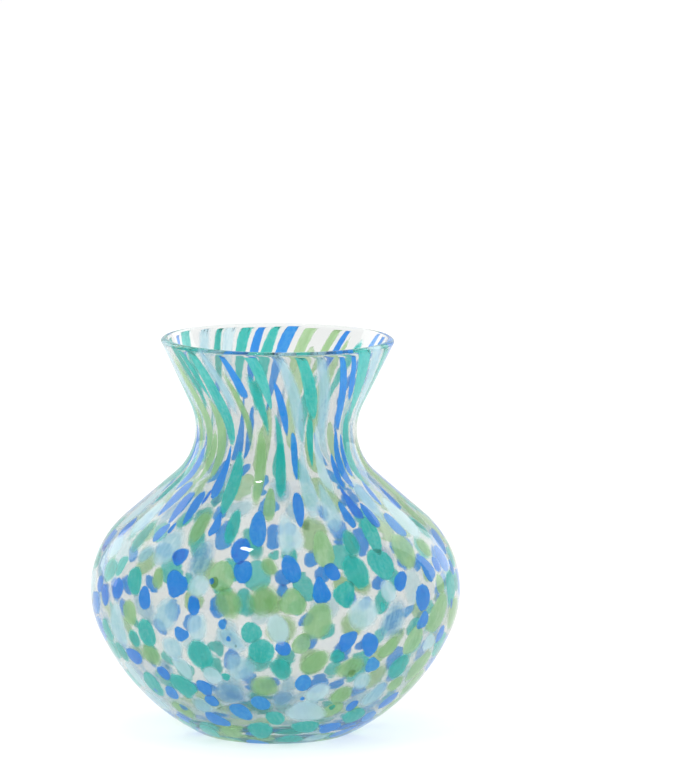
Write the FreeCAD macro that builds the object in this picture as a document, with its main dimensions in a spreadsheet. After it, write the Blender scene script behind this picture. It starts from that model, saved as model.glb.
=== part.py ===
"""A hand-blown vase of cased glass: a clear core gather, chips in four colours, and a clear casing over them.

The vase stands along +Z. Its axis is the Z axis and its foot rests on the plane z = 0. Lengths are millimetres.

The glassmaker gathers clear glass, rolls it in broken glass of four colours, cases it with a second clear
gather and blows it out. The chips lie side by side in a thin seam between the core gather and the casing, which
meet under the base and at the lip. They start as round spots. Drawing in the neck and spinning the mouth open
pulls the ones up there into long, slanting streaks.
"""
import FreeCAD, Part
import bisect
import math
import os
import random

import Sketcher
from FreeCAD import Vector

# alias, value, meaning. Lengths are millimetres and angles are degrees.
DIMENSIONS = (
    ("lip_height", 199.6, "height of the lip where core and casing meet"),
    ("belly_radius", 93.5, "widest outside radius"),
    ("belly_height", 72.5, "height of the widest place"),
    ("belly_arc", 49.0, "outside arc radius round the belly"),
    ("body_arc", 108.5, "outside arc radius of the lower body"),
    ("joint_angle", 23.7, "slope below the horizontal where body arc meets belly arc"),
    ("throat_radius", 40.5, "outside radius at the narrowest place"),
    ("throat_height", 154.5, "height of the narrowest place"),
    ("throat_arc", 30.0, "outside arc radius of the throat"),
    ("flare_angle", 25.6, "lean of the mouth's wall from the vertical"),
    ("casing_wall", 1.4, "thickness of the clear casing"),
    ("seam", 0.5, "gap between casing and core gather that holds the chips"),
    ("core_wall", 1.6, "thickness of the core gather in the wall"),
    ("casing_floor", 3.6, "thickness of the casing under the base"),
    ("base_floor", 9.0, "height of the inside floor"),
    ("foot_corner", 4.0, "outside rounding at the foot"),
    ("casing_corner", 12.0, "rounding of the core's foot inside the casing"),
    ("floor_corner", 28.0, "rounding between the inside floor and wall"),
    ("punt_radius", 32.0, "radius of the hollow under the base"),
    ("punt_depth", 1.6, "depth of the hollow under the base"),
    ("pontil_radius", 9.0, "radius of the polished pontil mark"),
    ("pontil_depth", 0.7, "height of the pontil mark above the hollow's top"),
    ("pontil_overcut", 0.2, "how far the pontil mark's cut starts below the hollow's top"),
    ("lip_round_casing", 1.0, "fire-polished rounding outside the lip"),
    ("lip_round_core", 1.4, "fire-polished rounding inside the lip"),
    ("foot_join", 14.0, "radius within which casing and core meet under the base"),
    ("lip_join", 1.2, "height of the band at the lip where casing and core meet"),
    ("chip_thickness", 0.32, "thickness at the middle of a chip"),
    ("seam_margin", 0.4, "room between the outermost chips and the ends of the seam"),
    ("pull_start", 92.0, "height where the neck's stretching begins"),
    ("pull_end", 150.0, "height where the stretching is full"),
    ("neck_stretch", 2.9, "how many times longer a chip becomes in the neck"),
    ("mouth_twist", 17.0, "turn of the lip against the throat"),
    ("chip_gap", 0.3, "least gap between two chips before stretching"),
    ("blue_count", 185, "number of blue chips"),
    ("blue_small", 3.0, "smallest blue chip's radius before stretching"),
    ("blue_large", 5.6, "largest blue chip's radius before stretching"),
    ("teal_count", 125, "number of teal chips"),
    ("teal_small", 3.5, "smallest teal chip's radius before stretching"),
    ("teal_large", 6.8, "largest teal chip's radius before stretching"),
    ("green_count", 98, "number of green chips"),
    ("green_small", 3.9, "smallest green chip's radius before stretching"),
    ("green_large", 7.6, "largest green chip's radius before stretching"),
    ("pale_count", 92, "number of pale chips"),
    ("pale_small", 3.9, "smallest pale chip's radius before stretching"),
    ("pale_large", 7.4, "largest pale chip's radius before stretching"),
)

COLOURS = ("blue", "teal", "green", "pale")

SEED = 8                 # fixes where the chips fall
CANDIDATES = 5           # places tried for each chip; the one furthest from its neighbours is kept
TRIES = 400              # how often a chip that finds no room is thrown again
LONGEST_SHAPE = 1.55     # greatest length over width of a chip before stretching
LEAN_SPREAD = 0.5        # spread of the chips' lean before stretching, in radians
TWIST_GROWTH = 1.4       # above 1, the mouth's twist gathers towards the lip
LIP_ZONE = 5             # the lip's two edges lie within this of the top
# Corners of a chip's cross-section, each a share of its width and a share of its thickness.
SECTION = ((0, 1), (-1, 0), (0, -1), (1, 0))
SECTION_STEP = 2.5       # greatest length of chip for each cross-section
FEWEST_SECTIONS = 6
FACET_TOLERANCE = 0.001  # points closer than this are one corner
STREAK_STRETCH = 1.8     # a chip stretched more than this counts as a streak
STATIONS_PER_MM = 2      # samples along the colour line for the stretch table

START, END, CENTRE = 1, 2, 3          # point numbers in a sketch
ORIGIN, V_AXIS = (-1, START), -2      # the sketch's own origin and vertical axis


def make_sheet(doc):
    sheet = doc.addObject("Spreadsheet::Sheet", "dims")
    for row, (alias, value, meaning) in enumerate(DIMENSIONS, start=1):
        sheet.set(f"A{row}", alias)
        sheet.set(f"B{row}", str(value))
        sheet.setAlias(f"B{row}", alias)
        sheet.set(f"C{row}", meaning)
    doc.recompute()
    return sheet


def polar(centre, radius, angle):
    return Vector(centre.x + radius * math.cos(angle), centre.y + radius * math.sin(angle), 0)


def arc(centre, radius, start, end):
    return Part.ArcOfCircle(Part.Circle(centre, Vector(0, 0, 1), radius), start, end)


def outline_geometry(dims, depth, floor, corner, start, top):
    """One side of the wall, depth inside the outer surface.

    It runs floor, corner, body, belly, shoulder, throat, flare. The floor line starts at a distance from the
    axis, and the flare line stops at a height.
    """
    belly = Vector(dims.belly_radius - dims.belly_arc, dims.belly_height, 0)
    throat = Vector(dims.throat_radius + dims.throat_arc, dims.throat_height, 0)
    joint = -math.radians(dims.joint_angle)
    body = polar(belly, dims.belly_arc - dims.body_arc, joint)

    across = throat - belly
    bend = math.acos((dims.belly_arc + dims.throat_arc) / across.Length)
    shoulder = math.atan2(across.y, across.x) - bend
    flare = math.pi - math.radians(dims.flare_angle)

    body_radius = dims.body_arc - depth
    belly_radius = dims.belly_arc - depth
    throat_radius = dims.throat_arc + depth
    corner_y = floor + corner
    corner_x = body.x + math.sqrt((body_radius - corner) ** 2 - (body.y - corner_y) ** 2)
    corner_end = math.atan2(corner_y - body.y, corner_x - body.x)
    throat_top = polar(throat, throat_radius, flare)
    rise = top - throat_top.y
    flare_top = throat_top + Vector(rise * math.tan(math.radians(dims.flare_angle)), rise, 0)
    belly_top = polar(belly, belly_radius, shoulder)
    throat_foot = polar(throat, throat_radius, shoulder + math.pi)
    return [
        Part.LineSegment(Vector(start, floor, 0), Vector(corner_x, floor, 0)),
        arc(Vector(corner_x, corner_y, 0), corner, -math.pi / 2, corner_end),
        arc(body, body_radius, corner_end, joint),
        arc(belly, belly_radius, joint, shoulder),
        Part.LineSegment(belly_top, throat_foot),
        arc(throat, throat_radius, flare, shoulder + math.pi),
        Part.LineSegment(throat_top, flare_top),
    ]


def drive(sketch, name, kind, expression, *where):
    """Adds a dimension with a name and binds it to the sheet."""
    start_value = sketch.evalExpression(expression)
    start_value = getattr(start_value, "Value", start_value)
    if kind == "Angle":
        start_value = math.radians(start_value)
    number = sketch.addConstraint(Sketcher.Constraint(kind, *where, start_value))
    sketch.renameConstraint(number, name)
    sketch.setExpression(f"Constraints.{name}", expression)


def add_outline(sketch, dims, name, depth, floor, corner, start="0", top="dims.lip_height"):
    """Draws one side of the wall and binds it to the sheet. The numbers are expressions of the sheet.

    Without a top, the flare line's end stays free. Returns the sketch numbers of the floor and flare lines.
    """
    values = [sketch.evalExpression(text) for text in (depth, floor, corner, start, top or "dims.lip_height")]
    shapes = outline_geometry(dims, *values)
    base, foot, body, belly, shoulder, throat, flare = [sketch.addGeometry(shape, False) for shape in shapes]
    for first, first_end, second, second_end in (
        (base, END, foot, START),
        (foot, END, body, START),
        (body, END, belly, START),
        (belly, END, shoulder, START),
        (shoulder, END, throat, END),
        (throat, START, flare, START),
    ):
        sketch.addConstraint(Sketcher.Constraint("Tangent", first, first_end, second, second_end))
    sketch.addConstraint(Sketcher.Constraint("Horizontal", base))
    if floor == "0":
        sketch.addConstraint(Sketcher.Constraint("Coincident", base, START, *ORIGIN))
    else:
        drive(sketch, f"{name}_floor", "DistanceY", floor, *ORIGIN, base, START)
        if start == "0":
            sketch.addConstraint(Sketcher.Constraint("PointOnObject", base, START, V_AXIS))
        else:
            drive(sketch, f"{name}_start", "DistanceX", start, *ORIGIN, base, START)
    drive(sketch, f"{name}_corner", "Radius", corner, foot)
    drive(sketch, f"{name}_body", "Radius", f"dims.body_arc - {depth}", body)
    joint = f"dims.belly_height - (dims.belly_arc - {depth}) * sin(dims.joint_angle * 1 deg)"
    drive(sketch, f"{name}_joint", "DistanceY", joint, *ORIGIN, belly, START)
    belly_x = "dims.belly_radius - dims.belly_arc"
    drive(sketch, f"{name}_belly_x", "DistanceX", belly_x, *ORIGIN, belly, CENTRE)
    drive(sketch, f"{name}_belly_z", "DistanceY", "dims.belly_height", *ORIGIN, belly, CENTRE)
    drive(sketch, f"{name}_belly", "Radius", f"dims.belly_arc - {depth}", belly)
    throat_x = "dims.throat_radius + dims.throat_arc"
    drive(sketch, f"{name}_throat_x", "DistanceX", throat_x, *ORIGIN, throat, CENTRE)
    drive(sketch, f"{name}_throat_z", "DistanceY", "dims.throat_height", *ORIGIN, throat, CENTRE)
    drive(sketch, f"{name}_throat", "Radius", f"dims.throat_arc + {depth}", throat)
    drive(sketch, f"{name}_flare", "Angle", "90 - dims.flare_angle", flare)
    if top:
        drive(sketch, f"{name}_top", "DistanceY", top, *ORIGIN, flare, END)
    return base, flare


def link(sketch, first, second):
    """A line between two drawn points, each given as a line's sketch number and a point number."""
    line = sketch.addGeometry(Part.LineSegment(sketch.getPoint(*first), sketch.getPoint(*second)), False)
    sketch.addConstraint(Sketcher.Constraint("Coincident", line, START, *first))
    sketch.addConstraint(Sketcher.Constraint("Coincident", line, END, *second))
    return line


def origin_plane(body, role):
    return next(plane for plane in body.Origin.OriginFeatures if plane.Role == role)


def body_sketch(body, name):
    sketch = body.newObject("Sketcher::SketchObject", name)
    sketch.AttachmentSupport = [(origin_plane(body, "XZ_Plane"), "")]
    sketch.MapMode = "FlatFace"
    return sketch


def turn(doc, body, sketch):
    """Turns a closed profile round the Z axis."""
    turned = body.newObject("PartDesign::Revolution", f"{body.Name}_turned")
    turned.Profile = sketch
    turned.ReferenceAxis = (sketch, ["V_Axis"])
    turned.Angle = 360
    doc.recompute()


def highest_edge(shape, outermost):
    """Name of the lip's outer or inner edge: the widest or narrowest circle close to the top of the shape."""
    lip_zone = shape.BoundBox.ZMax - LIP_ZONE
    rings = [
        (edge.Curve.Radius, number)
        for number, edge in enumerate(shape.Edges, start=1)
        if edge.Curve.TypeId == "Part::GeomCircle" and edge.isClosed() and edge.Curve.Center.z > lip_zone
    ]
    return f"Edge{(max(rings) if outermost else min(rings))[1]}"


def round_lip(doc, body, radius, outermost):
    """Fire-polishes one edge of the lip; radius is the sheet's alias."""
    turned = body.Tip
    lip = body.newObject("PartDesign::Fillet", f"{body.Name}_lip")
    lip.Base = (turned, [highest_edge(turned.Shape, outermost)])
    lip.setExpression("Radius", f"dims.{radius}")
    doc.recompute()


def hollow_under(doc, body, name, radius, depth, roof):
    """Grooves a shallow, domed hollow into the underside.

    The radius, depth and roof are expressions of the sheet: roof is the height of the hollow's top on the axis,
    and depth is its rise above its own rim.
    """
    sketch = body_sketch(body, name)
    rim, rise, top = [sketch.evalExpression(text) for text in (radius, depth, roof)]
    low = top - rise
    dome_radius = (rim**2 + rise**2) / (2 * rise)
    half_angle = math.asin(rim / dome_radius)
    dome = sketch.addGeometry(
        arc(Vector(0, top - dome_radius, 0), dome_radius, math.pi / 2 - half_angle, math.pi / 2), False)
    edge = sketch.addGeometry(Part.LineSegment(Vector(0, low, 0), Vector(rim, low, 0)), False)
    axis = sketch.addGeometry(Part.LineSegment(Vector(0, low, 0), Vector(0, top, 0)), False)
    sketch.addConstraint(Sketcher.Constraint("Coincident", edge, START, axis, START))
    sketch.addConstraint(Sketcher.Constraint("Coincident", edge, END, dome, START))
    sketch.addConstraint(Sketcher.Constraint("Coincident", axis, END, dome, END))
    sketch.addConstraint(Sketcher.Constraint("PointOnObject", dome, CENTRE, V_AXIS))
    sketch.addConstraint(Sketcher.Constraint("PointOnObject", axis, END, V_AXIS))
    sketch.addConstraint(Sketcher.Constraint("Vertical", axis))
    sketch.addConstraint(Sketcher.Constraint("Horizontal", edge))
    drive(sketch, f"{name}_radius", "DistanceX", radius, edge, START, edge, END)
    drive(sketch, f"{name}_roof", "DistanceY", roof, *ORIGIN, axis, END)
    drive(sketch, f"{name}_depth", "DistanceY", depth, axis, START, axis, END)
    volume = body.Shape.Volume
    groove = body.newObject("PartDesign::Groove", f"{name}_groove")
    groove.Profile = sketch
    groove.ReferenceAxis = (sketch, ["V_Axis"])
    groove.Angle = 360
    doc.recompute()
    if body.Shape.Volume >= volume:
        raise RuntimeError(f"{name} removed no glass")


def make_casing(doc, dims):
    """The clear casing, with its rounded lip, the hollow under the base and the polished pontil mark."""
    casing = doc.addObject("PartDesign::Body", "outer_casing")
    sketch = body_sketch(casing, "casing_profile")
    outer_base, outer_flare = add_outline(sketch, dims, "outer", "0", "0", "dims.foot_corner", top=None)
    inner_base, inner_flare = add_outline(
        sketch, dims, "inner", "dims.casing_wall", "dims.casing_floor", "dims.casing_corner")
    link(sketch, (outer_base, START), (inner_base, START))
    lip = link(sketch, (outer_flare, END), (inner_flare, END))
    sketch.addConstraint(Sketcher.Constraint("Perpendicular", lip, inner_flare))
    turn(doc, casing, sketch)

    round_lip(doc, casing, "lip_round_casing", outermost=True)
    hollow_under(doc, casing, "punt", "dims.punt_radius", "dims.punt_depth", "dims.punt_depth")
    hollow_under(doc, casing, "pontil_mark", "dims.pontil_radius", "dims.pontil_depth + dims.pontil_overcut",
                 "dims.punt_depth + dims.pontil_depth")
    return casing


def make_core(doc, dims):
    """The core gather. It steps out to the casing under the base and at the lip, which closes the seam."""
    core = doc.addObject("PartDesign::Body", "core_gather")
    sketch = body_sketch(core, "core_profile")
    outer_base, outer_flare = add_outline(
        sketch, dims, "outer", "(dims.casing_wall + dims.seam)", "(dims.casing_floor + dims.seam)",
        "(dims.casing_corner - dims.seam)", start="dims.foot_join", top="dims.lip_height - dims.lip_join")
    inner_base, inner_flare = add_outline(
        sketch, dims, "inner", "(dims.casing_wall + dims.seam + dims.core_wall)", "dims.base_floor",
        "dims.floor_corner", top=None)

    # The step down to the casing under the base, and the disc that rests on it.
    top = sketch.getPoint(outer_base, START)
    low = Vector(top.x, dims.casing_floor, 0)
    step = sketch.addGeometry(Part.LineSegment(low, top), False)
    disc = sketch.addGeometry(Part.LineSegment(Vector(0, low.y, 0), low), False)
    sketch.addConstraint(Sketcher.Constraint("Coincident", step, END, outer_base, START))
    sketch.addConstraint(Sketcher.Constraint("Coincident", disc, END, step, START))
    sketch.addConstraint(Sketcher.Constraint("PointOnObject", disc, START, V_AXIS))
    sketch.addConstraint(Sketcher.Constraint("Vertical", step))
    sketch.addConstraint(Sketcher.Constraint("Horizontal", disc))
    drive(sketch, "disc_height", "DistanceY", "dims.casing_floor", *ORIGIN, disc, START)
    link(sketch, (disc, START), (inner_base, START))

    # The step out to the casing below the lip, and the band that lies against it.
    flare = math.radians(dims.flare_angle)
    inside = sketch.getPoint(outer_flare, END)
    outside = inside + Vector(math.cos(flare), -math.sin(flare), 0) * dims.seam
    rise = dims.lip_height - outside.y
    lip_corner = outside + Vector(rise * math.tan(flare), rise, 0)
    ledge = sketch.addGeometry(Part.LineSegment(inside, outside), False)
    band = sketch.addGeometry(Part.LineSegment(outside, lip_corner), False)
    sketch.addConstraint(Sketcher.Constraint("Coincident", ledge, START, outer_flare, END))
    sketch.addConstraint(Sketcher.Constraint("Coincident", band, START, ledge, END))
    sketch.addConstraint(Sketcher.Constraint("Perpendicular", ledge, outer_flare))
    sketch.addConstraint(Sketcher.Constraint("Parallel", band, outer_flare))
    drive(sketch, "ledge_width", "Distance", "dims.seam", ledge, START, ledge, END)
    drive(sketch, "lip_corner", "DistanceY", "dims.lip_height", *ORIGIN, band, END)
    lip = link(sketch, (band, END), (inner_flare, END))
    sketch.addConstraint(Sketcher.Constraint("Perpendicular", lip, band))
    turn(doc, core, sketch)

    round_lip(doc, core, "lip_round_core", outermost=False)
    return core


def make_colour_line(doc, dims):
    """The line along the middle of the seam that the chips follow."""
    sketch = doc.addObject("Sketcher::SketchObject", "colour_line")
    sketch.Placement = FreeCAD.Placement(Vector(0, 0, 0), FreeCAD.Rotation(Vector(1, 0, 0), 90))
    half = "dims.seam / 2"
    add_outline(
        sketch, dims, "line", f"(dims.casing_wall + {half})", f"(dims.casing_floor + {half})",
        f"(dims.casing_corner - {half})", start="dims.foot_join", top="dims.lip_height - dims.lip_join")
    doc.recompute()
    return sketch


def smooth_step(low, high, value):
    share = min(1.0, max(0.0, (value - low) / (high - low)))
    return share * share * (3 - 2 * share)


class Gather:
    """Carries a place on the gather before it is drawn out to its place on the finished vase.

    Before drawing, a place is given by height, a length along the gather, and by angle round it. Afterwards it
    has a length along the colour line, and the same angle plus the mouth's twist.
    """

    def __init__(self, dims, colour_line):
        self.dims = dims
        self.edges = []
        self.ends = []
        length = 0.0
        for edge in Part.Wire(colour_line.Shape.Edges).OrderedEdges:
            self.edges.append(edge)
            length += edge.Length
            self.ends.append(length)
        self.length = length
        # The height before drawing, at each station along the line, is the sum of step / stretch up to there.
        count = int(length * STATIONS_PER_MM)
        self.step = length / count
        self.heights = [0.0]
        for number in range(count):
            middle = (number + 0.5) * self.step
            self.heights.append(self.heights[-1] + self.step / self.stretch(self.station(middle)[0].z))

    def station(self, along):
        """Point on the line in the XZ plane, and the unit vector across it, out of the vase."""
        along = min(max(along, 0.0), self.length)
        number = min(bisect.bisect_left(self.ends, along), len(self.edges) - 1)
        edge = self.edges[number]
        into = along - (self.ends[number] - edge.Length)
        if edge.Orientation == "Reversed":
            into = edge.Length - into
        parameter = edge.getParameterByLength(into)
        point = edge.valueAt(parameter)
        tangent = edge.tangentAt(parameter)
        if edge.Orientation == "Reversed":
            tangent = -tangent
        return point, Vector(tangent.z, 0, -tangent.x)

    def stretch(self, z):
        pull = smooth_step(self.dims.pull_start, self.dims.pull_end, z)
        return 1 + (self.dims.neck_stretch - 1) * pull

    def twist(self, z):
        """The mouth is spun open, which turns it clockwise against the throat, seen from above."""
        share = max(0.0, (z - self.dims.pull_end) / (self.dims.lip_height - self.dims.pull_end))
        return -math.radians(self.dims.mouth_twist) * share**TWIST_GROWTH

    def along(self, height):
        """Length along the colour line for a height before drawing."""
        number = min(max(bisect.bisect_left(self.heights, height), 1), len(self.heights) - 1)
        low, high = self.heights[number - 1], self.heights[number]
        return (number - 1 + (height - low) / (high - low)) * self.step

    def height(self, along):
        number = min(int(along / self.step), len(self.heights) - 2)
        share = along / self.step - number
        return self.heights[number] + share * (self.heights[number + 1] - self.heights[number])

    def radius(self, height):
        """Radius before drawing: the finished body's up to the belly, then the belly's all the way up."""
        point = self.station(self.along(height))[0]
        return point.x if point.z < self.dims.belly_height else self.dims.belly_radius

    def place(self, height, angle, outwards):
        """The finished place, outwards from the colour line."""
        point, normal = self.station(self.along(height))
        point = point + normal * outwards
        turned = angle + self.twist(point.z)
        return Vector(point.x * math.cos(turned), point.x * math.sin(turned), point.z)


class Chip:
    """A lens of coloured glass. Before drawing, its outline is a leaning ellipse on the gather."""

    def __init__(self, gather, colour, rng):
        self.colour = colour
        small, large = [getattr(gather.dims, f"{colour}_{size}") for size in ("small", "large")]
        self.reach = rng.uniform(small, large)
        shape = rng.uniform(1.0, LONGEST_SHAPE)
        long, short = self.reach * math.sqrt(shape), self.reach / math.sqrt(shape)
        lean = rng.gauss(0.0, LEAN_SPREAD)
        self.reach = long
        self.half_height = math.hypot(long * math.cos(lean), short * math.sin(lean))
        self.half_width = long * short / self.half_height
        self.slope = (long**2 - short**2) * math.sin(lean) * math.cos(lean) / self.half_height**2

    def move_to(self, gather, low, high, rng):
        """Puts the chip at a place picked evenly over the gather's surface between two heights."""
        while True:
            height = rng.uniform(low, high)
            if rng.random() * gather.dims.belly_radius < gather.radius(height):
                break
        # Chips crowd against the ends of the seam and none runs past them.
        self.height = min(max(height, low + self.half_height), high - self.half_height)
        self.angle = rng.uniform(-math.pi, math.pi)
        self.radius = gather.radius(self.height)

    def distance(self, other):
        """Distance between two chips' middles, on the gather."""
        turn = abs(self.angle - other.angle)
        turn = min(turn, 2 * math.pi - turn)
        return math.hypot(self.height - other.height, turn * min(self.radius, other.radius))

    def room(self, others):
        return min((self.distance(other) - self.reach - other.reach for other in others), default=math.inf)

    def point(self, gather, along, across, outwards):
        """A point of the chip: along runs from -1 to 1 up it, and across from -1 to 1 between its sides."""
        swell = math.sqrt(max(0.0, 1 - along**2))
        up = along * self.half_height
        sideways = self.slope * up + self.half_width * swell * across
        bulge = outwards * swell * gather.dims.chip_thickness / 2
        return gather.place(self.height + up, self.angle + sideways / self.radius, bulge)

    def is_streak(self, gather):
        return gather.stretch(gather.station(gather.along(self.height))[0].z) > STREAK_STRETCH

    def solid(self, gather):
        """A flake of flat facets, thickest along its middle and sharp at its sides and both tips."""
        length = gather.along(self.height + self.half_height) - gather.along(self.height - self.half_height)
        count = max(FEWEST_SECTIONS, math.ceil(length / SECTION_STEP))
        points = [self.point(gather, -1, 0, 0)]
        for number in range(1, count + 1):
            along = -math.cos(math.pi * number / (count + 1))
            points += [self.point(gather, along, across, outwards) for across, outwards in SECTION]
        points.append(self.point(gather, 1, 0, 0))

        corners = len(SECTION)
        facets = []
        for corner in range(corners):
            beside = (corner + 1) % corners
            facets.append((0, 1 + beside, 1 + corner))
            for low in range(1, 1 + (count - 1) * corners, corners):
                high = low + corners
                facets.append((low + corner, low + beside, high + corner))
                facets.append((low + beside, high + beside, high + corner))
            last = 1 + (count - 1) * corners
            facets.append((last + corner, last + beside, len(points) - 1))
        skin = Part.Shape()
        skin.makeShapeFromMesh((points, facets), FACET_TOLERANCE)
        return Part.Solid(skin.Shells[0])


def throw_chips(gather, rng):
    """Scatters the chips over the gather, largest first, so that no two of them touch."""
    dims = gather.dims
    low = gather.height(dims.seam_margin)
    high = gather.height(gather.length - dims.seam_margin)
    waiting = []
    for colour in COLOURS:
        count = int(getattr(dims, f"{colour}_count"))
        waiting += [Chip(gather, colour, rng) for _ in range(count)]
    waiting.sort(key=lambda chip: -chip.reach)
    lying = []
    for chip in waiting:
        best, best_place = -math.inf, None
        for attempt in range(TRIES):
            chip.move_to(gather, low, high, rng)
            room = chip.room(lying)
            if room > best:
                best, best_place = room, (chip.height, chip.angle, chip.radius)
            if attempt >= CANDIDATES and best > dims.chip_gap:
                break
        if best > dims.chip_gap:
            chip.height, chip.angle, chip.radius = best_place
            lying.append(chip)
    return lying


def add_feature(doc, name, shape):
    feature = doc.addObject("Part::Feature", name)
    feature.Shape = shape
    feature.Placement = FreeCAD.Placement()
    return feature


def make_chips(doc, gather):
    """One object of separate solids for each colour's spots and one for its streaks."""
    chips = throw_chips(gather, random.Random(SEED))
    features = []
    for colour in COLOURS:
        own = [chip for chip in chips if chip.colour == colour]
        spots = [chip.solid(gather) for chip in own if not chip.is_streak(gather)]
        streaks = [chip.solid(gather) for chip in own if chip.is_streak(gather)]
        features.append(add_feature(doc, f"{colour}_spots", Part.Compound(spots)))
        features.append(add_feature(doc, f"{colour}_streaks", Part.Compound(streaks)))
    return features


def check(doc, sub_parts):
    for item in doc.Objects:
        if "Invalid" in item.State or "Error" in item.State:
            raise RuntimeError(f"{item.Label} failed: {item.State}")
    for item in sub_parts:
        if item.Shape.isNull() or not item.Shape.isValid():
            raise RuntimeError(f"{item.Label} has no valid shape")


def main():
    doc = FreeCAD.newDocument("vase")
    dims = make_sheet(doc)
    casing = make_casing(doc, dims)
    core = make_core(doc, dims)
    chips = make_chips(doc, Gather(dims, make_colour_line(doc, dims)))
    doc.recompute()

    sub_parts = [casing, core, *chips]
    check(doc, sub_parts)
    os.makedirs("parts", exist_ok=True)
    for item in sub_parts:
        item.Shape.exportStep(f"parts/{item.Label}.step")
        print(f"{item.Label}: {len(item.Shape.Solids)} solids, {item.Shape.Volume:.0f} mm3")


main()
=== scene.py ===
"""The looks of the hand-blown cased glass vase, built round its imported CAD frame. Lengths are in metres.

The clear casing and core gather become one glass wall, because in the real vase they are fused and the
surface between them can't be seen. Each CAD chip becomes a soft-edged, slightly uneven lens of coloured glass
in that wall.
"""

import math
import random

import bmesh
import bpy
import numpy as np
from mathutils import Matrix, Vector, noise


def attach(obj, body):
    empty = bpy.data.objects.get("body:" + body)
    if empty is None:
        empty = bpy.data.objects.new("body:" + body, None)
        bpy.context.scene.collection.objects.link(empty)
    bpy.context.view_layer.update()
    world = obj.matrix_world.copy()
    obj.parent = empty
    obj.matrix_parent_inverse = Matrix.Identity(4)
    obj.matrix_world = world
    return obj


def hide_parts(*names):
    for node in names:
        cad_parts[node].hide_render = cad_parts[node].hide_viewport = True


MM = 0.001

# The wall's outline and its layers, as in the CAD source.
LIP_HEIGHT = 199.6 * MM
BELLY_RADIUS = 93.5 * MM
BELLY_HEIGHT = 72.5 * MM
BELLY_ARC = 49.0 * MM
BODY_ARC = 108.5 * MM
JOINT_ANGLE = math.radians(23.7)
THROAT_RADIUS = 40.5 * MM
THROAT_HEIGHT = 154.5 * MM
THROAT_ARC = 30.0 * MM
FLARE_ANGLE = math.radians(25.6)
FOOT_CORNER = 4.0 * MM
FLOOR_CORNER = 28.0 * MM
BASE_FLOOR = 9.0 * MM
CASING_WALL = 1.4 * MM
SEAM = 0.5 * MM
CORE_WALL = 1.6 * MM
CASING_FLOOR = 3.6 * MM
CASING_CORNER = 12.0 * MM
FOOT_JOIN = 14.0 * MM
PUNT_RADIUS = 32.0 * MM
PUNT_DEPTH = 1.6 * MM
PONTIL_RADIUS = 9.0 * MM
PONTIL_DEPTH = 0.7 * MM
PULL_START = 92.0 * MM
PULL_END = 150.0 * MM
NECK_STRETCH = 2.9

# The glass wall's mesh.
TURNS = 320             # segments round the glass
ARC_STEP = 1.3 * MM     # length of one segment along the glass's profile
LIP_BEAD = 1.25 * MM    # how far the fire-polished lip swells past the ends of the two sides
LIP_STEPS = 14
PUNT_STEPS = 40
PUNT_EDGE = 1.5 * MM    # length of the first segment outside the hollow's edge
PONTIL_EDGE = 0.8       # below 1, the pontil mark's edge is steeper than a plain dome's

# How a hand-blown wall departs from a turned one, and the places between which each departure sets in.
OVAL = 0.30 * MM
THREE_SIDED = 0.22 * MM
SPIRAL = 18                         # how fast the three-sided shape turns with height, in radians per metre
MOUTH_OVAL = 0.25 * MM
MOUTH_SHIFT = 1.2 * MM
LIP_TILT = 0.5 * MM
BASE_RADII = (5 * MM, 30 * MM)
FOOT_HEIGHTS = (0, 12 * MM)
BODY_HEIGHTS = (20 * MM, 80 * MM)
MOUTH_HEIGHTS = (100 * MM, 200 * MM)
LIP_HEIGHTS = (150 * MM, 200 * MM)
INSIDE_UNEVEN = 0.35 * MM
INSIDE_WAVES = (14, 22)             # waves of that unevenness per metre, level and upright
INSIDE_SWIRL = 0.3                  # how much they wind round the vase
CALM_RADIUS = 20 * MM               # within this of the axis the inside is even
CALM_FADE = 15 * MM                 # and this far outside it the unevenness is full

# Seed bubbles.
BUBBLES = 26
BUBBLE_SPAN = (0.25, 0.93)       # where they lie, as a share of the seam's points
BUBBLE_RADIUS = (0.2 * MM, 0.6 * MM)
BUBBLE_STRETCH = 0.4                # how much longer than wide one is at most
DRAWN_STRETCH = 1.6                 # and where the neck's pull has drawn it, above the next height
DRAWN_ABOVE = 120 * MM

COLOURS = ("blue", "teal", "green", "pale")
# How far outwards of the seam's middle each colour's chips lie, and how much that differs between chips.
LAYER = {"blue": 0.60 * MM, "teal": 0.15 * MM, "green": -0.30 * MM, "pale": -0.75 * MM}
LAYER_SPREAD = 0.09 * MM
# Some pale chips went on last: they lie above the others and are milkier than the deep ones.
PALE_ON_TOP = 0.34
PALE_TOP_LAYER = 1.05 * MM
PALE_TOP_GROWTH = 1.45
PALE_TOP_TONE = 1.5
CHIP_HALF_THICKNESS = 0.17 * MM
# How far the melted edge reaches, as a share of the CAD chip.
SPOT_GROWTH = {"blue": 1.19, "teal": 1.30, "green": 1.34, "pale": 1.55}
STREAK_GROWTH = {"blue": 1.14, "teal": 1.30, "green": 1.25, "pale": 1.50}
# Where the colour starts to thin out towards that edge, and how much that differs between chips.
SOFT_EDGE = {"blue": 0.90, "teal": 0.74, "green": 0.68, "pale": 0.45}
SOFT_VARIETY = {"blue": 0.06, "teal": 0.14, "green": 0.14, "pale": 0.10}
CRISPEST_EDGE = 0.95
CHIP_RINGS = 7
RING_CROWDING = 0.8     # below 1, a chip's rings lie closer together towards its edge
CHIP_SECTORS = 36
LIP_REACH = 9.0 * MM    # a streak that ends this near the lip runs on up to it
LIP_RUN = 10.0 * MM     # how much longer that makes it
LIP_GAPS = (0.3 * MM, 2.0 * MM)     # how far below the lip it ends
LIP_SOFTNESS = 0.7 * MM             # how softly its end is squeezed there
SEAM_ENDS = (0.5 * MM, 0.2 * MM)    # no part of a chip lies nearer than this to the seam's low and high end

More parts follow.
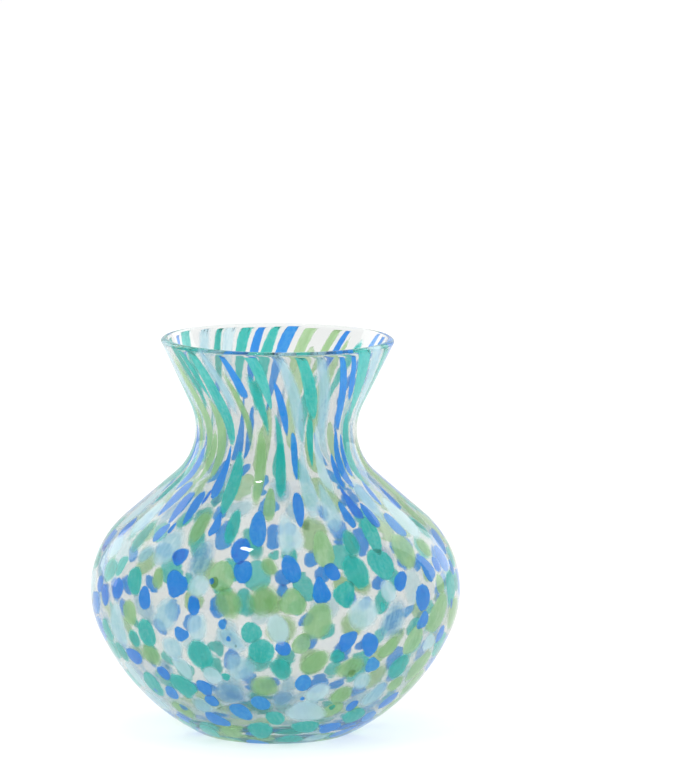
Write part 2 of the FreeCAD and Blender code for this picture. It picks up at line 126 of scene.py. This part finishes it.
# A chip's outline: for each harmonic, how strong its waves are.
OUTLINE_WAVES = ((2, 0.040), (3, 0.045), (4, 0.014))
WAVE_SPREAD = 0.8
RAGGED_SHARE = 0.25     # this share of the chips is more uneven
RAGGED = 2.4
DROP_TAIL = (0.15, 0.45)            # how much blunter one end of a streak is
EGG_TAIL = (-0.16, 0.16)            # and of a spot
GRAIN_ROOM = 50         # chips differ in where their grain starts, by up to this

# Crumbs: flecks of the same glass, too small for the CAD model, and drawn out in the neck as the chips are.
CRUMBS = {"blue": 26, "teal": 14, "green": 12, "pale": 0}
CRUMB_REACH = (1.2 * MM, 2.5 * MM)
CRUMB_SHAPE = (0.55, 1.0)           # width over length
CRUMB_HEIGHTS = (14.0 * MM, 128.0 * MM)

SAME_CORNER = 2e-6      # corners of the CAD mesh closer than this are one
SECTION_CORNERS = 4     # a CAD chip is a chain of four-cornered cross-sections between two tips

# The studio.
VASE_MIDDLE = (0, 0, 0.1)
FLOOR_SIZE = 60.0
FLOOR_GLOW = 0.47
# name, place, size, watts, and whether it shows as a highlight in the glass
LIGHTS = (
    ("key_soft_box", (-1.5, -1.5, 1.7), (0.9, 1.2), 20, False),
    ("fill_soft_box", (1.7, -1.2, 1.2), (0.6, 1.2), 13, False),
    ("left_soft_box", (-1.2, 1.0, 0.75), (1.0, 1.4), 7, True),
    ("right_soft_box", (1.2, 1.0, 0.75), (1.0, 1.4), 7, True),
    ("top_soft_box", (-0.44, -0.46, 2.0), (0.20, 0.12), 2, True),
)
CAMERA_DISTANCE = 2.5
CAMERA_ELEVATION = math.radians(9.52)
CAMERA_LENS = 231.4
CAMERA_SHIFT = (0.0964, 0.196)      # puts the vase low and left in the picture


# ---------------------------------------------------------------- shared geometry

def polar(centre, radius, angle):
    return np.array([centre[0] + radius * math.cos(angle), centre[1] + radius * math.sin(angle)])


def arc_points(centre, radius, start, end):
    count = max(3, math.ceil(abs(end - start) * radius / ARC_STEP))
    return [polar(centre, radius, start + (end - start) * k / count) for k in range(count + 1)]


def line_points(first, last):
    count = max(1, math.ceil(np.linalg.norm(last - first) / ARC_STEP))
    return [first + (last - first) * k / count for k in range(count + 1)]


def wall_side(depth, floor, corner, start=0.0, top=LIP_HEIGHT):
    """Points (radius, height) of one side of the wall, from the floor up to the lip.

    The side lies at a depth inside the wall's outside. Its floor begins at the radius start, and it ends at
    the height top.
    """
    belly = np.array([BELLY_RADIUS - BELLY_ARC, BELLY_HEIGHT])
    throat = np.array([THROAT_RADIUS + THROAT_ARC, THROAT_HEIGHT])
    body = polar(belly, BELLY_ARC - BODY_ARC, -JOINT_ANGLE)
    across = throat - belly
    bend = math.acos((BELLY_ARC + THROAT_ARC) / np.linalg.norm(across))
    shoulder = math.atan2(across[1], across[0]) - bend
    corner_z = floor + corner
    corner_x = body[0] + math.sqrt((BODY_ARC - depth - corner) ** 2 - (body[1] - corner_z) ** 2)
    corner_end = math.atan2(corner_z - body[1], corner_x - body[0])
    belly_top = polar(belly, BELLY_ARC - depth, shoulder)
    throat_foot = polar(throat, THROAT_ARC + depth, shoulder + math.pi)
    throat_top = polar(throat, THROAT_ARC + depth, math.pi - FLARE_ANGLE)
    rise = top - throat_top[1]
    lip = throat_top + np.array([rise * math.tan(FLARE_ANGLE), rise])
    return np.array(
        line_points(np.array([start, floor]), np.array([corner_x, floor]))[:-1]
        + arc_points((corner_x, corner_z), corner, -math.pi / 2, corner_end)[:-1]
        + arc_points(body, BODY_ARC - depth, corner_end, -JOINT_ANGLE)[:-1]
        + arc_points(belly, BELLY_ARC - depth, -JOINT_ANGLE, shoulder)[:-1]
        + line_points(belly_top, throat_foot)[:-1]
        + arc_points(throat, THROAT_ARC + depth, shoulder + math.pi, math.pi - FLARE_ANGLE)[:-1]
        + line_points(throat_top, lip)
    )


def seam_side():
    """The middle of the seam between casing and core, where the CAD chips lie."""
    return wall_side(CASING_WALL + SEAM / 2, CASING_FLOOR + SEAM / 2, CASING_CORNER - SEAM / 2, FOOT_JOIN)


def smooth_step(low, high, value):
    share = np.clip((value - low) / (high - low), 0, 1)
    return share * share * (3 - 2 * share)


def breathe(points):
    """Moves points as a hand-blown vase departs from a turned one: leaning mouth, slightly uneven wall."""
    points = np.array(points, float)
    x, y, z = points[:, 0], points[:, 1], points[:, 2]
    angle = np.arctan2(y, x)
    up = smooth_step(*MOUTH_HEIGHTS, z)
    # The angles added here and below only say where each wave starts.
    swell = (
        OVAL * np.sin(2 * angle + 0.8) * smooth_step(*BODY_HEIGHTS, z)
        + THREE_SIDED * np.sin(3 * angle + 2.1 + SPIRAL * z)
        + MOUTH_OVAL * np.sin(2 * angle + 2.6) * up
    )
    # The foot and the middle of the base stay as they are.
    swell *= smooth_step(*BASE_RADII, np.hypot(x, y))
    swell *= smooth_step(*FOOT_HEIGHTS, z)
    points[:, 0] = x + swell * np.cos(angle) + MOUTH_SHIFT * up
    points[:, 1] = y + swell * np.sin(angle)
    points[:, 2] = z + LIP_TILT * np.sin(angle - 0.6) * smooth_step(*LIP_HEIGHTS, z)
    return points


def add_mesh(name, vertices, faces):
    mesh = bpy.data.meshes.new(name)
    mesh.from_pydata([tuple(v) for v in vertices], [], faces)
    mesh.validate()
    mesh.update()
    mesh.polygons.foreach_set("use_smooth", [True] * len(mesh.polygons))
    obj = bpy.data.objects.new(name, mesh)
    bpy.context.scene.collection.objects.link(obj)
    return obj


# ---------------------------------------------------------------- the clear glass

def lip_arc(outer_end, inner_end):
    """The fire-polished lip: a soft bead from the outside's end to the inside's end."""
    middle = (outer_end + inner_end) / 2
    half = (inner_end - outer_end) / 2
    up = np.array([math.sin(FLARE_ANGLE), math.cos(FLARE_ANGLE)])
    turns = [math.pi * k / LIP_STEPS for k in range(1, LIP_STEPS)]
    return [middle - half * math.cos(turn) + up * LIP_BEAD * math.sin(turn) for turn in turns]


def base_line():
    """The underside from its centre to the foot: the pontil mark and the hollow round it."""
    def dome(radius, reach, rise):
        return rise * (1 - (radius / reach) ** 2)

    points = []
    for radius in np.linspace(0, PUNT_RADIUS, PUNT_STEPS):
        height = dome(radius, PUNT_RADIUS, PUNT_DEPTH)
        if radius < PONTIL_RADIUS:
            height += PONTIL_DEPTH * dome(radius, PONTIL_RADIUS, 1.0) ** PONTIL_EDGE
        points.append(np.array([radius, height]))
    return points


def roughen_inside(vertices):
    """The inside is a little less even than the outside, which was shaped against wet newspaper and wood."""
    level, upright = INSIDE_WAVES
    for row in vertices:
        radius = math.hypot(row[0], row[1])
        if radius > CALM_RADIUS:
            swirl = INSIDE_SWIRL * math.atan2(row[1], row[0])
            point = Vector((row[0] * level, row[1] * level, row[2] * upright + swirl))
            push = INSIDE_UNEVEN * noise.noise(point) * min(1.0, (radius - CALM_RADIUS) / CALM_FADE)
            row[0] += push * row[0] / radius
            row[1] += push * row[1] / radius


def glass_wall():
    """One closed wall of clear glass; its "inner" value is 1 on the inside and 0 elsewhere."""
    lip_drop = LIP_BEAD * math.cos(FLARE_ANGLE)
    outer_top = LIP_HEIGHT - lip_drop
    depth = CASING_WALL + SEAM + CORE_WALL
    outer = wall_side(0.0, 0.0, FOOT_CORNER, start=PUNT_RADIUS + PUNT_EDGE, top=outer_top)
    inner = wall_side(depth, BASE_FLOOR, FLOOR_CORNER, top=outer_top + depth * math.sin(FLARE_ANGLE))
    before_inner = base_line() + list(outer) + lip_arc(outer[-1], inner[-1])
    profile = np.array(before_inner + list(inner[::-1]))
    profile[0, 0] = profile[-1, 0] = 0.0

    # Every point of the profile becomes a ring, but the first and last, on the axis, stay points.
    rings = profile[1:-1]
    angles = np.arange(TURNS) * 2 * math.pi / TURNS
    vertices = np.empty((len(rings), TURNS, 3))
    vertices[:, :, 0] = rings[:, 0, None] * np.cos(angles)
    vertices[:, :, 1] = rings[:, 0, None] * np.sin(angles)
    vertices[:, :, 2] = rings[:, 1, None]
    vertices = vertices.reshape(-1, 3)
    vertices = np.vstack([vertices, [[0, 0, profile[0, 1]], [0, 0, profile[-1, 1]]]])
    bottom, top = len(vertices) - 2, len(vertices) - 1
    faces = []
    for low in range(0, (len(rings) - 1) * TURNS, TURNS):
        high = low + TURNS
        for turn in range(TURNS):
            beside = (turn + 1) % TURNS
            faces.append((low + turn, low + beside, high + beside, high + turn))
    last = (len(rings) - 1) * TURNS
    for turn in range(TURNS):
        beside = (turn + 1) % TURNS
        faces.append((bottom, beside, turn))
        faces.append((top, last + turn, last + beside))

    first_inner = (len(before_inner) - 1) * TURNS
    roughen_inside(vertices[first_inner:-2])
    wall = add_mesh("clear_glass", breathe(vertices), faces)
    is_inner = np.zeros(len(vertices), np.float32)
    is_inner[first_inner:-2] = 1.0
    is_inner[top] = 1.0
    wall.data.attributes.new("inner", "FLOAT", "POINT").data.foreach_set("value", is_inner)
    return wall


def add_bubbles(wall, rng):
    """Seed bubbles: small closed hollows in the glass, facing inwards."""
    line = seam_side()
    bm = bmesh.new()
    bm.from_mesh(wall.data)
    for _ in range(BUBBLES):
        radius, height = line[int(rng.uniform(*BUBBLE_SPAN) * (len(line) - 1))]
        angle = rng.uniform(-math.pi, math.pi)
        centre = breathe([[radius * math.cos(angle), radius * math.sin(angle), height]])[0]
        made = bmesh.ops.create_icosphere(bm, subdivisions=2, radius=rng.uniform(*BUBBLE_RADIUS))
        longer = 1 + rng.random() * (DRAWN_STRETCH if height > DRAWN_ABOVE else BUBBLE_STRETCH)
        for vertex in made["verts"]:
            vertex.co.z *= longer
            vertex.co += Vector(centre)
        faces = {face for vertex in made["verts"] for face in vertex.link_faces}
        bmesh.ops.reverse_faces(bm, faces=list(faces))
        for face in faces:
            face.smooth = True
    bm.to_mesh(wall.data)
    bm.free()


# ---------------------------------------------------------------- the chips

class SeamLine:
    """The middle of the seam, with places on it given by a length along it and an angle round the axis."""

    def __init__(self):
        self.points = seam_side()
        steps = np.diff(self.points, axis=0)
        lengths = np.hypot(steps[:, 0], steps[:, 1])
        self.length = np.concatenate([[0], np.cumsum(lengths)])
        tangent = np.gradient(self.points, self.length, axis=0)
        tangent /= np.linalg.norm(tangent, axis=1)[:, None]
        self.normal = np.stack([tangent[:, 1], -tangent[:, 0]], axis=1)

    def along(self, radius, height):
        """The length along the seam of the place on it that is nearest to a point."""
        gaps = np.hypot(self.points[:, 0] - radius, self.points[:, 1] - height)
        nearest = int(np.argmin(gaps))
        low, high = max(nearest - 1, 0), min(nearest + 1, len(self.points) - 1)
        step = self.points[high] - self.points[low]
        share = np.dot(np.array([radius, height]) - self.points[low], step) / np.dot(step, step)
        return self.length[low] + np.clip(share, 0, 1) * (self.length[high] - self.length[low])

    def place(self, along, angle, outwards):
        along = np.clip(along, SEAM_ENDS[0], self.length[-1] - SEAM_ENDS[1])
        radius = np.interp(along, self.length, self.points[:, 0])
        height = np.interp(along, self.length, self.points[:, 1])
        radius = radius + np.interp(along, self.length, self.normal[:, 0]) * outwards
        height = height + np.interp(along, self.length, self.normal[:, 1]) * outwards
        return np.stack([radius * np.cos(angle), radius * np.sin(angle), height], axis=-1)


def loose_parts(node):
    """The separate solids of a CAD node, each as an array of its corners."""
    mesh = node.data
    corners = np.empty(len(mesh.vertices) * 3)
    mesh.vertices.foreach_get("co", corners)
    corners = corners.reshape(-1, 3)
    rounded = np.round(corners / SAME_CORNER)
    _, first, same = np.unique(rounded, axis=0, return_index=True, return_inverse=True)
    same = same.reshape(-1)
    parent = list(range(len(first)))

    def root(item):
        while parent[item] != item:
            parent[item] = parent[parent[item]]
            item = parent[item]
        return item

    for polygon in mesh.polygons:
        ids = [same[v] for v in polygon.vertices]
        for other in ids[1:]:
            parent[root(ids[0])] = root(other)
    groups = {}
    for item in range(len(first)):
        groups.setdefault(root(item), []).append(corners[first[item]])
    return [np.array(group) for group in groups.values()]


class ChipTrack:
    """Where a CAD chip runs on the seam: its middle line and its half width, from tip to tip."""

    def __init__(self, seam, corners):
        radius = np.hypot(corners[:, 0], corners[:, 1])
        self.angle = math.atan2(corners[:, 1].mean(), corners[:, 0].mean())
        angle = np.arctan2(corners[:, 1], corners[:, 0]) - self.angle
        angle = (angle + math.pi) % (2 * math.pi) - math.pi
        along = np.array([seam.along(r, z) for r, z in zip(radius, corners[:, 2])])
        order = np.argsort(along)
        along, angle = along[order], angle[order]
        sections = (len(along) - 2) // SECTION_CORNERS
        shares, alongs, middles, halves = [-1.0], [along[0]], [angle[0]], []
        for number in range(sections):
            ring = slice(1 + SECTION_CORNERS * number, 1 + SECTION_CORNERS * (number + 1))
            share = -math.cos(math.pi * (number + 1) / (sections + 1))
            low, high = angle[ring].min(), angle[ring].max()
            shares.append(share)
            alongs.append(along[ring].mean())
            middles.append((low + high) / 2)
            halves.append((high - low) / 2 / math.sqrt(1 - share**2))
        shares.append(1.0)
        alongs.append(along[-1])
        middles.append(angle[-1])
        self.alongs = np.polyfit(shares, alongs, 3)
        self.middles = np.polyfit(shares, middles, 3)
        self.slopes = np.polyder(self.middles)
        self.top = along[-1]
        self.half = float(np.mean(halves))
        self.reach = (along[-1] - along[0]) / 2
        self.radius = float(radius.mean())

    def spot(self, along_share, across_share):
        """Length along the seam and angle, for shares of the chip's reach and of its half width.

        Past the tips it runs straight on.
        """
        inside = np.clip(along_share, -1, 1)
        past = along_share - inside
        along = np.polyval(self.alongs, inside) + past * self.reach
        middle = np.polyval(self.middles, inside) + past * np.polyval(self.slopes, inside)
        return along, self.angle + middle + self.half * across_share


class Crumb:
    """A fleck at a random place on the seam. It has a ChipTrack's values and its spot method."""

    def __init__(self, seam, rng):
        height = rng.uniform(*CRUMB_HEIGHTS)
        self.middle = np.interp(height, seam.points[:, 1], seam.length)
        self.radius = float(np.interp(self.middle, seam.length, seam.points[:, 0]))
        stretch = 1 + (NECK_STRETCH - 1) * float(smooth_step(PULL_START, PULL_END, height))
        reach = rng.uniform(*CRUMB_REACH)
        self.reach = reach * stretch
        self.half = reach * rng.uniform(*CRUMB_SHAPE) / math.sqrt(stretch) / self.radius
        self.angle = rng.uniform(-math.pi, math.pi)
        self.top = self.middle + self.reach

    def spot(self, along_share, across_share):
        return self.middle + along_share * self.reach, self.angle + across_share * self.half


def chip_outline(rng, streak):
    """Shares along and across the chip for the points of its melted edge."""
    angles = np.arange(CHIP_SECTORS) * 2 * math.pi / CHIP_SECTORS
    uneven = RAGGED if rng.random() < RAGGED_SHARE else 1.0
    reach = np.ones(CHIP_SECTORS)
    for harmonic, size in OUTLINE_WAVES:
        strength = uneven * size * rng.gauss(0, WAVE_SPREAD)
        reach += strength * np.cos(harmonic * angles + rng.uniform(0, 2 * math.pi))
    # An egg, or in the neck a drop: one end is blunter than the other.
    tail = rng.uniform(*DROP_TAIL) * rng.choice((-1, 1)) if streak else rng.uniform(*EGG_TAIL)
    along, across = np.cos(angles), np.sin(angles) * (1 + tail * np.cos(angles))
    return along * reach, across * reach


def up_to(value, limit):
    """The value, squeezed so that it never passes the limit."""
    return limit - LIP_SOFTNESS * np.logaddexp(0, (limit - value) / LIP_SOFTNESS)


def chip_mesh(seam, track, colour, streak, rng, store):
    """Adds one chip's lens to the store of vertices, faces and per-vertex values."""
    along_edge, across_edge = chip_outline(rng, streak)
    growth = (STREAK_GROWTH if streak else SPOT_GROWTH)[colour]
    depth = LAYER[colour] + rng.uniform(-LAYER_SPREAD, LAYER_SPREAD)
    on_top = colour == "pale" and not streak and rng.random() < PALE_ON_TOP
    if on_top:
        growth, depth = PALE_TOP_GROWTH, PALE_TOP_LAYER
    lip = seam.length[-1] - rng.uniform(*LIP_GAPS)
    run = LIP_RUN if streak and lip - track.top < LIP_REACH else 0.0
    tone = rng.gauss(0, 1) + (PALE_TOP_TONE if on_top else 0.0)
    grain_start = rng.uniform(0, GRAIN_ROOM)

    def add_ring(share, outwards):
        """Points at a share of the way out to the edge; in the middle of the chip they are one point."""
        edge = slice(None) if share else slice(0, 1)
        a, b = along_edge[edge] * share * growth, across_edge[edge] * share * growth
        along, angle = track.spot(a + np.clip(a, 0, None) * run / track.reach, b)
        first = len(store["vertices"])
        store["vertices"].extend(seam.place(up_to(along, lip), angle, outwards))
        store["melt"].extend([share] * len(a))
        store["tone"].extend([tone] * len(a))
        width = track.half * track.radius
        store["grain"].extend(zip(a * track.reach / MM, b * width / MM, [grain_start] * len(a)))
        return list(range(first, first + len(a)))

    sides = []
    for side in (1, -1):
        columns = []
        for number in range(CHIP_RINGS):
            share = (number / CHIP_RINGS) ** RING_CROWDING
            bulge = CHIP_HALF_THICKNESS * math.sqrt(1 - share**2)
            columns.append(add_ring(share, depth + side * bulge))
        sides.append(columns)
    rim = add_ring(1.0, depth)
    for columns, turned in zip(sides, (False, True)):
        columns.append(rim)
        for sector in range(CHIP_SECTORS):
            beside = (sector + 1) % CHIP_SECTORS
            faces = [[columns[0][0], columns[1][sector], columns[1][beside]]]
            for near, far in zip(columns[1:-1], columns[2:]):
                faces.append([near[sector], far[sector], far[beside], near[beside]])
            store["faces"].extend(face[::-1] if turned else face for face in faces)


def build_chips(frame, seam, colour, kind, material):
    """One colour's spots or streaks as one piece, in place of the CAD node."""
    rng = random.Random(f"{colour} {kind}")
    store = {"vertices": [], "faces": [], "melt": [], "tone": [], "grain": []}
    for corners in loose_parts(frame["nodes"][f"{colour}_{kind}"]):
        chip_mesh(seam, ChipTrack(seam, corners), colour, kind == "streaks", rng, store)
    if kind == "spots":
        for _ in range(CRUMBS[colour]):
            chip_mesh(seam, Crumb(seam, rng), colour, False, rng, store)
    obj = add_mesh(f"{colour}_{kind}_glass", breathe(store["vertices"]), store["faces"])
    for name in ("melt", "tone"):
        values = obj.data.attributes.new(name, "FLOAT", "POINT")
        values.data.foreach_set("value", np.array(store[name], np.float32))
    grain = obj.data.attributes.new("grain", "FLOAT_VECTOR", "POINT")
    grain.data.foreach_set("vector", np.array(store["grain"], np.float32).ravel())
    obj.data.materials.append(material)
    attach(obj, "root")
    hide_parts(f"{colour}_{kind}")


# ---------------------------------------------------------------- materials

WHITE = (1, 1, 1, 1)


def srgb(red, green, blue):
    """A colour seen on a screen, from 0 to 255, as the linear values that Blender works in."""
    linear = [((v / 255 + 0.055) / 1.055) ** 2.4 if v > 10 else v / 255 / 12.92 for v in (red, green, blue)]
    return (*linear, 1.0)


class Nodes:
    """Short ways to build a material's node tree."""

    def __init__(self, name):
        self.material = bpy.data.materials.new(name)
        self.material.use_nodes = True
        self.tree = self.material.node_tree
        self.tree.nodes.clear()
        self.output = self.tree.nodes.new("ShaderNodeOutputMaterial")

    def feed(self, socket, value):
        """Links a socket to another node's output, or sets it to a plain value."""
        if isinstance(value, bpy.types.NodeSocket):
            self.tree.links.new(value, socket)
        else:
            socket.default_value = value

    def new(self, kind, inputs=None, **settings):
        node = self.tree.nodes.new(f"ShaderNode{kind}")
        for name, value in settings.items():
            setattr(node, name, value)
        for name, value in (inputs or {}).items():
            self.feed(node.inputs[name], value)
        return node

    def math(self, operation, *values, clamp=False):
        node = self.new("Math", operation=operation, use_clamp=clamp)
        for number, value in enumerate(values):
            self.feed(node.inputs[number], value)
        return node.outputs[0]

    def attribute(self, name, output="Fac"):
        return self.new("Attribute", attribute_name=name).outputs[output]

    def noise(self, place, scale, detail, roughness=0.5):
        inputs = {"Vector": place, "Scale": scale, "Detail": detail, "Roughness": roughness}
        return self.new("TexNoise", inputs).outputs["Fac"]

    def remap(self, value, low, high):
        """From 0 at low to 1 at high, smoothly."""
        node = self.new("MapRange", {"Value": value, "From Min": low, "From Max": high},
                        interpolation_type="SMOOTHSTEP")
        return node.outputs["Result"]

    def mix_colour(self, share, first, second, blend="MIX"):
        node = self.new("Mix", data_type="RGBA", blend_type=blend)
        # A colour Mix node has its share at input 0 and its colours at inputs 6, 7 and output 2.
        for number, value in ((0, share), (6, first), (7, second)):
            self.feed(node.inputs[number], value)
        return node.outputs[2]

    def mix_shader(self, share, first, second):
        node = self.new("MixShader")
        for number, value in enumerate((share, first, second)):
            self.feed(node.inputs[number], value)
        return node.outputs[0]

    def finish(self, surface, volume=None):
        self.feed(self.output.inputs["Surface"], surface)
        if volume:
            self.feed(self.output.inputs["Volume"], volume)
        return self.material


INNER_ROUGHNESS = 0.05              # the inside was never polished, so the far side is seen softened
GLASS_TINT = (0.875, 0.878, 0.874, 1)
PASS_THROUGH_TINT = (0.93, 0.965, 0.965, 1)


def clear_glass_material():
    """Clear glass with faint tool marks. Shadows and diffuse light pass straight through it."""
    n = Nodes("clear_glass")
    place = n.new("TexCoord").outputs["Object"]
    stretched = n.new("Mapping", {"Vector": place, "Scale": (30, 30, 85)}).outputs[0]
    marks = n.noise(stretched, 1.0, 2.0)
    fine = n.noise(place, 240.0, 3.0)
    height = n.math("ADD", n.math("MULTIPLY", marks, 0.8), n.math("MULTIPLY", fine, 0.05))
    bump = n.new("Bump", {"Height": height, "Strength": 0.22, "Distance": 0.001})
    rough = n.math("MULTIPLY", n.attribute("inner"), INNER_ROUGHNESS)
    glass = n.new("BsdfGlass", {"Color": GLASS_TINT, "Roughness": rough, "IOR": 1.5,
                                "Normal": bump.outputs["Normal"]})
    through = n.new("BsdfTransparent", {"Color": PASS_THROUGH_TINT})
    path = n.new("LightPath")
    straight = n.math("MAXIMUM", path.outputs["Is Shadow Ray"], path.outputs["Is Diffuse Ray"])
    surface = n.mix_shader(straight, glass.outputs[0], through.outputs[0])
    tint = n.new("VolumeAbsorption", {"Color": srgb(150, 222, 220), "Density": 9.0})
    return n.finish(surface, tint.outputs[0])


CHIP_LOOKS = {
    # colour: (usual, darker, lighter, opacity at the middle, how much the chips differ from each other)
    "blue": (srgb(12, 171, 242), srgb(6, 148, 236), srgb(80, 194, 242), 0.93, 0.12),
    "teal": (srgb(18, 210, 202), srgb(10, 192, 180), srgb(118, 224, 218), 0.88, 0.16),
    "green": (srgb(186, 218, 164), srgb(168, 206, 144), srgb(212, 232, 196), 0.82, 0.14),
    "pale": (srgb(196, 226, 236), srgb(138, 186, 218), srgb(230, 243, 247), 0.72, 0.24),
}
THINNED_OUT = 1.02      # where the colour has gone, as a share of the way out to the melted edge
TRANSLUCENCE = 0.45     # share of the light on the milky glass that passes on through it
CLEAR_PALENESS = 0.45   # how pale the clear part of a chip's glass is


def chip_material(colour):
    """Coloured glass: part milky, part clear, streaked the way it was drawn, and thinning out at its edge."""
    usual, darker, lighter, opacity, variety = CHIP_LOOKS[colour]
    n = Nodes(f"{colour}_glass")
    grain = n.attribute("grain", "Vector")
    tone = n.attribute("tone")
    drawn = n.new("Mapping", {"Vector": grain, "Scale": (0.10, 0.42, 1.0)}).outputs[0]
    streaks = n.noise(drawn, 1.0, 3.0, 0.6)
    mottle = n.noise(grain, 0.55, 4.0, 0.65)
    grit = n.noise(grain, 3.2, 2.0)

    cloud = n.math("ADD", n.math("MULTIPLY", streaks, 0.6), n.math("MULTIPLY", mottle, 0.7))
    cloud = n.math("ADD", cloud, n.math("MULTIPLY", tone, variety))
    light = n.remap(cloud, 0.60, 1.05)
    dark = n.remap(cloud, 0.60, 0.28)
    colour_now = n.mix_colour(light, n.mix_colour(dark, usual, darker), lighter)
    colour_now = n.mix_colour(n.math("MULTIPLY", grit, 0.10), colour_now, WHITE, "SOFT_LIGHT")

    wander = n.math("MULTIPLY", n.math("SUBTRACT", mottle, 0.5), 0.30)
    melt = n.math("ADD", n.attribute("melt"), wander)
    thins_from = n.math("MULTIPLY_ADD", tone, SOFT_VARIETY[colour], SOFT_EDGE[colour])
    body = n.remap(melt, THINNED_OUT, n.math("MINIMUM", thins_from, CRISPEST_EDGE))
    milk = n.math("ADD", opacity, n.math("MULTIPLY", n.math("SUBTRACT", streaks, 0.5), 0.18))
    thick = n.math("MULTIPLY", body, milk, clamp=True)
    # The side where light enters the lens does all the colouring, and the side where it leaves does none.
    entering = n.math("SUBTRACT", 1.0, n.new("NewGeometry").outputs["Backfacing"])

    milky = n.mix_shader(TRANSLUCENCE, n.new("BsdfDiffuse", {"Color": colour_now}).outputs[0],
                         n.new("BsdfTranslucent", {"Color": colour_now}).outputs[0])
    tinted = n.mix_colour(n.math("MULTIPLY", body, entering), WHITE,
                          n.mix_colour(CLEAR_PALENESS, colour_now, WHITE))
    clear = n.new("BsdfTransparent", {"Color": tinted}).outputs[0]
    return n.finish(n.mix_shader(n.math("MULTIPLY", thick, entering), clear, milky))


def floor_material():
    """A pale floor that glows a little, so that it stays as bright as the backdrop."""
    n = Nodes("studio_floor")
    place = n.new("TexCoord").outputs["Object"]
    speck = n.noise(place, 60.0, 3.0)
    colour = n.mix_colour(n.math("MULTIPLY", speck, 0.02), (0.54, 0.54, 0.54, 1), (0.51, 0.51, 0.51, 1))
    both = n.new("AddShader")
    n.feed(both.inputs[0], n.new("BsdfDiffuse", {"Color": colour}).outputs[0])
    n.feed(both.inputs[1], n.new("Emission", {"Color": WHITE, "Strength": FLOOR_GLOW}).outputs[0])
    return n.finish(both.outputs[0])


# ---------------------------------------------------------------- the studio

def link_object(name, data):
    made = bpy.data.objects.new(name, data)
    bpy.context.scene.collection.objects.link(made)
    return made


def aim_at_vase(obj, place):
    obj.location = place
    obj.rotation_mode = "QUATERNION"
    obj.rotation_quaternion = (Vector(VASE_MIDDLE) - Vector(place)).to_track_quat("-Z", "Y")


def add_soft_box(name, place, size, watts, mirrored):
    """A soft box aimed at the vase."""
    data = bpy.data.lights.new(name, "AREA")
    data.shape = "RECTANGLE"
    data.size, data.size_y = size
    data.energy = watts
    lamp = link_object(name, data)
    aim_at_vase(lamp, place)
    lamp.visible_glossy = mirrored
    lamp.visible_transmission = False


def build_backdrop():
    """Bright behind and above the vase and darker low down in front, so that the glass shows its edges."""
    world = bpy.data.worlds.new("studio")
    bpy.context.scene.world = world
    world.use_nodes = True
    tree = world.node_tree
    tree.nodes.clear()
    output = tree.nodes.new("ShaderNodeOutputWorld")
    background = tree.nodes.new("ShaderNodeBackground")
    place = tree.nodes.new("ShaderNodeTexCoord")
    towards = tree.nodes.new("ShaderNodeVectorMath")
    towards.operation = "DOT_PRODUCT"
    towards.inputs[1].default_value = (0.0, 0.8, 0.6)
    ramp = tree.nodes.new("ShaderNodeMapRange")
    ramp.interpolation_type = "SMOOTHSTEP"
    for name, value in (("From Min", -0.80), ("From Max", 0.10), ("To Min", 0.50), ("To Max", 1.05)):
        ramp.inputs[name].default_value = value
    tree.links.new(place.outputs["Generated"], towards.inputs[0])
    tree.links.new(towards.outputs["Value"], ramp.inputs["Value"])
    tree.links.new(ramp.outputs[0], background.inputs["Color"])
    background.inputs["Strength"].default_value = 1.0
    tree.links.new(background.outputs[0], output.inputs["Surface"])


def build_floor():
    bpy.ops.mesh.primitive_plane_add(size=FLOOR_SIZE)
    floor = bpy.context.object
    floor.name = "studio_floor"
    floor.data.materials.append(floor_material())


def set_light_paths():
    """Enough bounces for the many layers of glass, and colours shown as they are."""
    scene = bpy.context.scene
    scene.view_settings.view_transform = "Standard"
    scene.view_settings.look = "None"
    cycles = scene.cycles
    cycles.max_bounces = 40
    cycles.diffuse_bounces = 4
    cycles.glossy_bounces = 12
    cycles.transmission_bounces = 32
    cycles.transparent_max_bounces = 48
    cycles.caustics_reflective = False
    cycles.caustics_refractive = False
    cycles.sample_clamp_indirect = 6.0
    cycles.use_denoising = True


def add_camera():
    """Stands where the viewer stood: 2.5 m off, looking 9.5 degrees down."""
    data = bpy.data.cameras.new("camera")
    data.sensor_width = 36.0
    data.lens = CAMERA_LENS
    data.shift_x, data.shift_y = CAMERA_SHIFT
    data.clip_start, data.clip_end = 0.1, 100.0
    camera = link_object("camera", data)
    back = CAMERA_DISTANCE * math.cos(CAMERA_ELEVATION)
    aim_at_vase(camera, (0, -back, VASE_MIDDLE[2] + CAMERA_DISTANCE * math.sin(CAMERA_ELEVATION)))
    bpy.context.scene.camera = camera


# ---------------------------------------------------------------- build

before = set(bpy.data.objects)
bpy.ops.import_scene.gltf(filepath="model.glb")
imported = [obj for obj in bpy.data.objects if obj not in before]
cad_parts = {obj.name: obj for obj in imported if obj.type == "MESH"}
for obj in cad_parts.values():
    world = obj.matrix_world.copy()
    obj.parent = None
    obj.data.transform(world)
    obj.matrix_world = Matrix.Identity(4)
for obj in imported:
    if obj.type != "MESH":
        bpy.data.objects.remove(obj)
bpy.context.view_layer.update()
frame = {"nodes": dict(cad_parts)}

wall = glass_wall()
add_bubbles(wall, random.Random(5))
wall.data.materials.append(clear_glass_material())
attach(wall, "root")
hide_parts("outer_casing", "core_gather")

seam = SeamLine()
for colour in COLOURS:
    material = chip_material(colour)
    for kind in ("spots", "streaks"):
        build_chips(frame, seam, colour, kind, material)

build_backdrop()
build_floor()
for light in LIGHTS:
    add_soft_box(*light)
set_light_paths()
add_camera()
